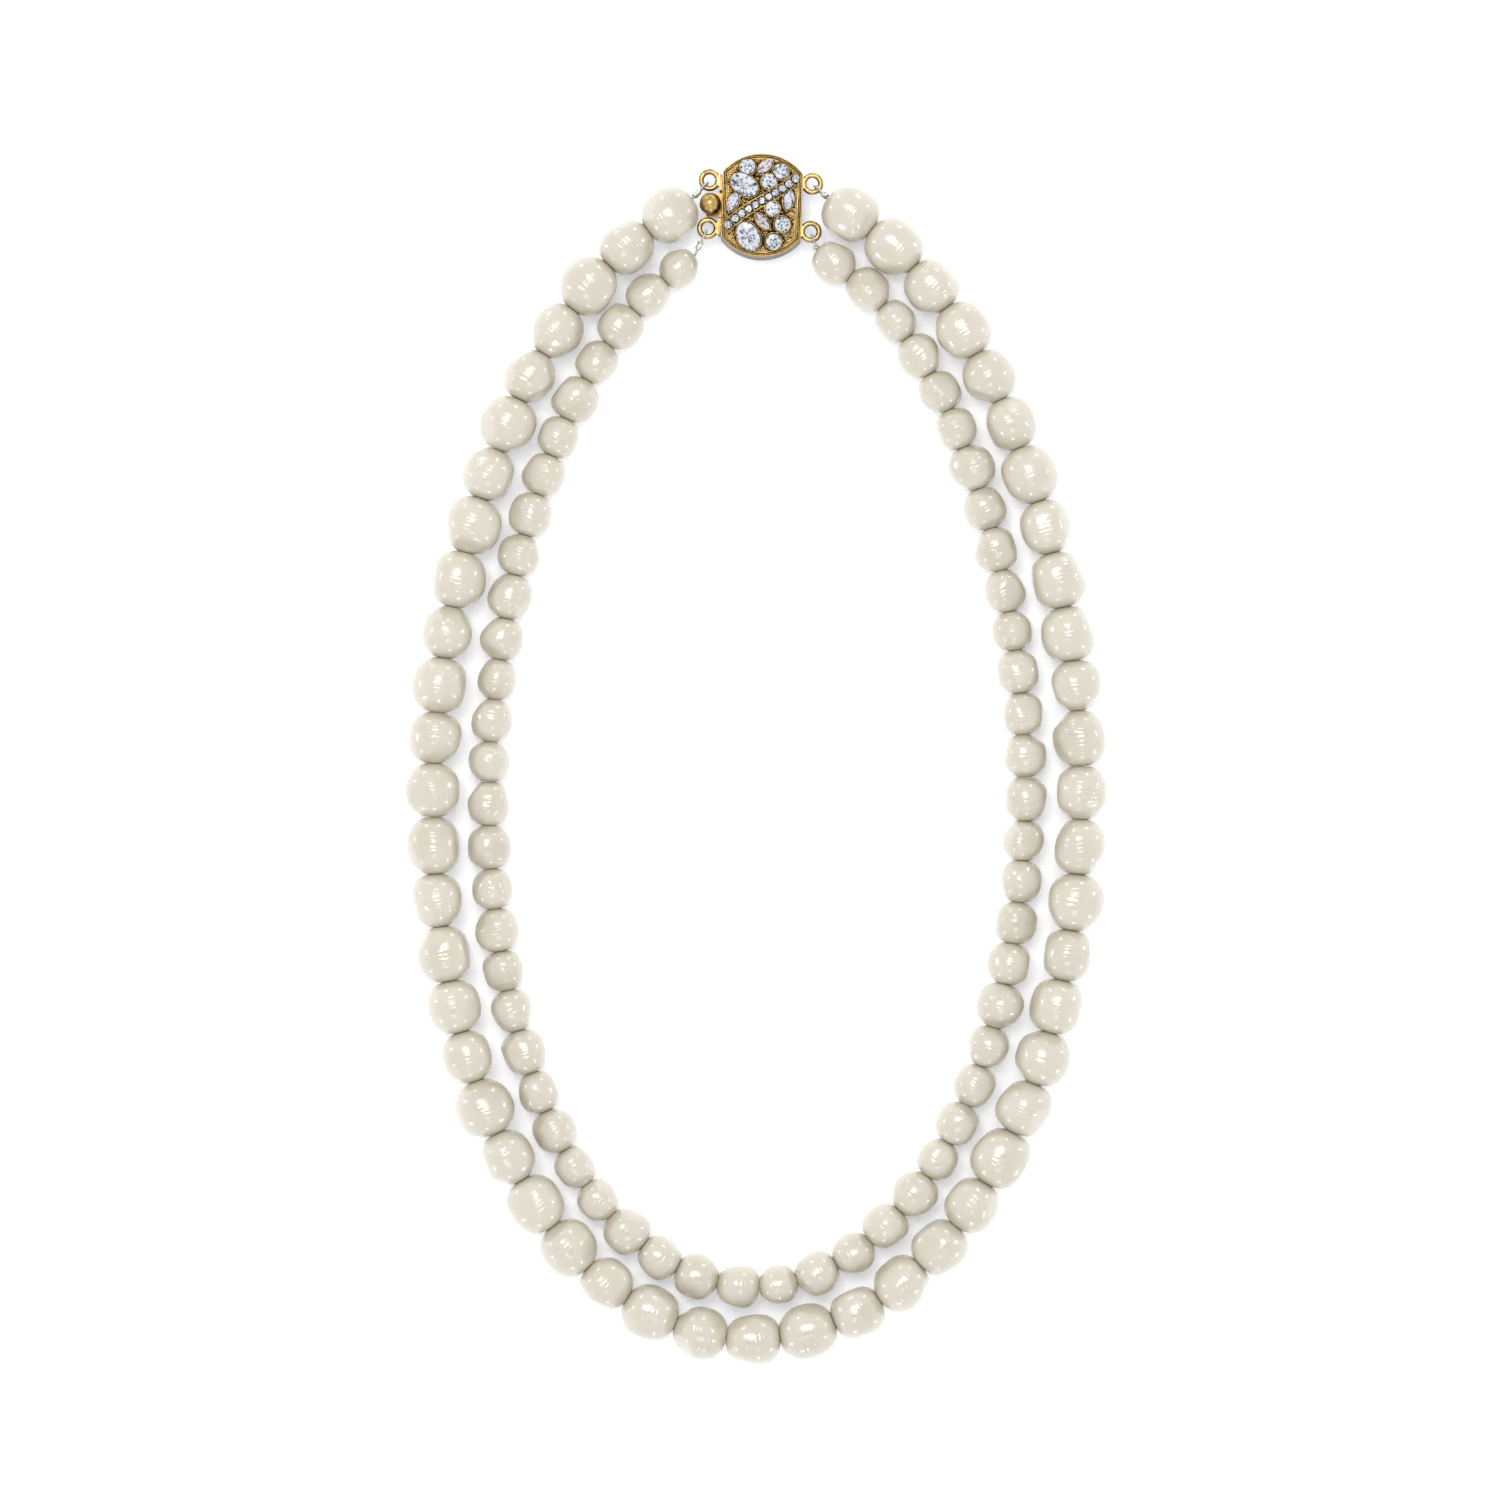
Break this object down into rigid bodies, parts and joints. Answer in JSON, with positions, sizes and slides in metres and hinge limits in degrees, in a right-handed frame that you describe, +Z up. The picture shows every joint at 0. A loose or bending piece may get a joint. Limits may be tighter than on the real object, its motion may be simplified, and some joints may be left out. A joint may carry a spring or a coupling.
{
  "type": "pearl necklace",
  "caption": "Two-strand baroque pearl necklace with an antique gold box clasp set with clear crystals, lying closed as an oval.",
  "frame": {"origin": "middle of the necklace's outline on the table it lies on", "axes": "+Y towards the clasp along the necklace's length, +Z up from the table, +X to the right with the clasp away from the viewer"},
  "size_m": [0.1297, 0.2241, 0.0105],
  "materials": {
    "pearl_large": "glossy nacre lacquer, warm grey-ivory",
    "pearl_small": "glossy nacre lacquer, warm grey-ivory",
    "antique_gold": "antique gold plate, dark in the crevices",
    "crystal": "clear cut crystal on foil",
    "beading_wire": "fine silver coil wire"
  },
  "bodies": {
    "clasp_case": {"case_body": "antique_gold", "case_rim": "antique_gold", "case_top": "antique_gold", "lug_outer": "antique_gold", "lug_inner": "antique_gold", "oval_upper": "crystal", "oval_lower": "crystal", "navette_1": "crystal", "navette_2": "crystal", "navette_3": "crystal", "navette_4": "crystal", "round_crystals": "crystal", "pave_crystals": "crystal"},
    "outer_1": {"pearls_outer_1": "pearl_large", "wire_outer_1": "beading_wire", "guard_outer_right": "beading_wire", "crimp_outer_right": "beading_wire"},
    "inner_1": {"pearls_inner_1": "pearl_small", "wire_inner_1": "beading_wire", "guard_inner_right": "beading_wire", "crimp_inner_right": "beading_wire"},
    "outer_2": {"pearls_outer_2": "pearl_large", "wire_outer_2": "beading_wire"},
    "inner_2": {"pearls_inner_2": "pearl_small", "wire_inner_2": "beading_wire"},
    "outer_3": {"pearls_outer_3": "pearl_large", "wire_outer_3": "beading_wire"},
    "inner_3": {"pearls_inner_3": "pearl_small", "wire_inner_3": "beading_wire"},
    "outer_4": {"pearls_outer_4": "pearl_large", "wire_outer_4": "beading_wire"},
    "inner_4": {"pearls_inner_4": "pearl_small", "wire_inner_4": "beading_wire"},
    "outer_5": {"pearls_outer_5": "pearl_large", "wire_outer_5": "beading_wire"},
    "inner_5": {"pearls_inner_5": "pearl_small", "wire_inner_5": "beading_wire"},
    "outer_6": {"pearls_outer_6": "pearl_large", "wire_outer_6": "beading_wire"},
    "inner_6": {"pearls_inner_6": "pearl_small", "wire_inner_6": "beading_wire"},
    "outer_7": {"pearls_outer_7": "pearl_large", "wire_outer_7": "beading_wire"},
    "inner_7": {"pearls_inner_7": "pearl_small", "wire_inner_7": "beading_wire"},
    "outer_8": {"pearls_outer_8": "pearl_large", "wire_outer_8": "beading_wire", "guard_outer_left": "beading_wire", "crimp_outer_left": "beading_wire"},
    "inner_8": {"pearls_inner_8": "pearl_small", "wire_inner_8": "beading_wire", "guard_inner_left": "beading_wire", "crimp_inner_left": "beading_wire"},
    "tongue": {"tongue_plate": "antique_gold", "tongue_ring_outer": "antique_gold", "tongue_ring_inner": "antique_gold"},
    "release": {"release_leaf": "antique_gold", "release_ball": "antique_gold"}
  },
  "joints": [
    {"name": "strand_open", "type": "hinge", "parent": "clasp_case", "child": "outer_1", "pos_m": [0.00955, 0.10673, 0.0044], "axis": [0, 0, 1], "range_deg": [0, 4.5]},
    {"name": "outer_flex_2", "type": "hinge", "parent": "outer_1", "child": "outer_2", "pos_m": [0.04806, 0.05777, 0.00535], "axis": [0, 0, 1], "range_deg": [0, 4.16]},
    {"name": "outer_flex_3", "type": "hinge", "parent": "outer_2", "child": "outer_3", "pos_m": [0.05921, -0.00105, 0.00535], "axis": [0, 0, 1], "range_deg": [0, 4.07]},
    {"name": "outer_flex_4", "type": "hinge", "parent": "outer_3", "child": "outer_4", "pos_m": [0.04683, -0.06887, 0.00535], "axis": [0, 0, 1], "range_deg": [0, 4.18]},
    {"name": "outer_flex_5", "type": "hinge", "parent": "outer_4", "child": "outer_5", "pos_m": [-0.00647, -0.10706, 0.00535], "axis": [0, 0, 1], "range_deg": [0, 4.67]},
    {"name": "outer_flex_6", "type": "hinge", "parent": "outer_5", "child": "outer_6", "pos_m": [-0.04904, -0.06905, 0.00535], "axis": [0, 0, 1], "range_deg": [0, 5.05]},
    {"name": "outer_flex_7", "type": "hinge", "parent": "outer_6", "child": "outer_7", "pos_m": [-0.06077, -0.01051, 0.00535], "axis": [0, 0, 1], "range_deg": [0, 5.16]},
    {"name": "outer_flex_8", "type": "hinge", "parent": "outer_7", "child": "outer_8", "pos_m": [-0.04882, 0.05746, 0.00535], "axis": [0, 0, 1], "range_deg": [0, 5.05]},
    {"name": "tongue_swivel", "type": "hinge", "parent": "outer_8", "child": "tongue", "pos_m": [-0.00949, 0.10739, 0.0044], "axis": [0, 0, 1], "range_deg": [0, 4.61]},
    {"name": "inner_flex_1", "type": "hinge", "parent": "clasp_case", "child": "inner_1", "pos_m": [0.00924, 0.09783, 0.0044], "axis": [0, 0, 1], "range_deg": [0, 4.19]},
    {"name": "inner_flex_2", "type": "hinge", "parent": "inner_1", "child": "inner_2", "pos_m": [0.0405, 0.05026, 0.0042], "axis": [0, 0, 1], "range_deg": [0, 4]},
    {"name": "inner_flex_3", "type": "hinge", "parent": "inner_2", "child": "inner_3", "pos_m": [0.04895, -0.00315, 0.0042], "axis": [0, 0, 1], "range_deg": [0, 4.01]},
    {"name": "inner_flex_4", "type": "hinge", "parent": "inner_3", "child": "inner_4", "pos_m": [0.04092, -0.05669, 0.0042], "axis": [0, 0, 1], "range_deg": [0, 4.18]},
    {"name": "inner_flex_5", "type": "hinge", "parent": "inner_4", "child": "inner_5", "pos_m": [-0.00029, -0.09778, 0.0042], "axis": [0, 0, 1], "range_deg": [0, 4.75]},
    {"name": "inner_flex_6", "type": "hinge", "parent": "inner_5", "child": "inner_6", "pos_m": [-0.04269, -0.05795, 0.0042], "axis": [0, 0, 1], "range_deg": [0, 5.27]},
    {"name": "inner_flex_7", "type": "hinge", "parent": "inner_6", "child": "inner_7", "pos_m": [-0.05041, -0.00398, 0.0042], "axis": [0, 0, 1], "range_deg": [0, 5.32]},
    {"name": "inner_flex_8", "type": "hinge", "parent": "inner_7", "child": "inner_8", "pos_m": [-0.04149, 0.04928, 0.0042], "axis": [0, 0, 1], "range_deg": [0, 5.13]},
    {"name": "release_press", "type": "hinge", "parent": "tongue", "child": "release", "pos_m": [0.0014, 0.10256, 0.0019], "axis": [-0.0349, -0.9994, 0], "range_deg": [0, 4], "stiffness_Nm_per_rad": 0.02}
  ],
  "couplings": [
    {"joint": "outer_flex_2", "follows": "strand_open", "ratio": 0.921},
    {"joint": "outer_flex_3", "follows": "strand_open", "ratio": 0.899},
    {"joint": "outer_flex_4", "follows": "strand_open", "ratio": 0.924},
    {"joint": "outer_flex_5", "follows": "strand_open", "ratio": 1.033},
    {"joint": "outer_flex_6", "follows": "strand_open", "ratio": 1.119},
    {"joint": "outer_flex_7", "follows": "strand_open", "ratio": 1.143},
    {"joint": "outer_flex_8", "follows": "strand_open", "ratio": 1.119},
    {"joint": "tongue_swivel", "follows": "strand_open", "ratio": 1.019},
    {"joint": "inner_flex_1", "follows": "strand_open", "ratio": 0.927},
    {"joint": "inner_flex_2", "follows": "strand_open", "ratio": 0.885},
    {"joint": "inner_flex_3", "follows": "strand_open", "ratio": 0.886},
    {"joint": "inner_flex_4", "follows": "strand_open", "ratio": 0.925},
    {"joint": "inner_flex_5", "follows": "strand_open", "ratio": 1.051},
    {"joint": "inner_flex_6", "follows": "strand_open", "ratio": 1.166},
    {"joint": "inner_flex_7", "follows": "strand_open", "ratio": 1.177},
    {"joint": "inner_flex_8", "follows": "strand_open", "ratio": 1.135}
  ]
}
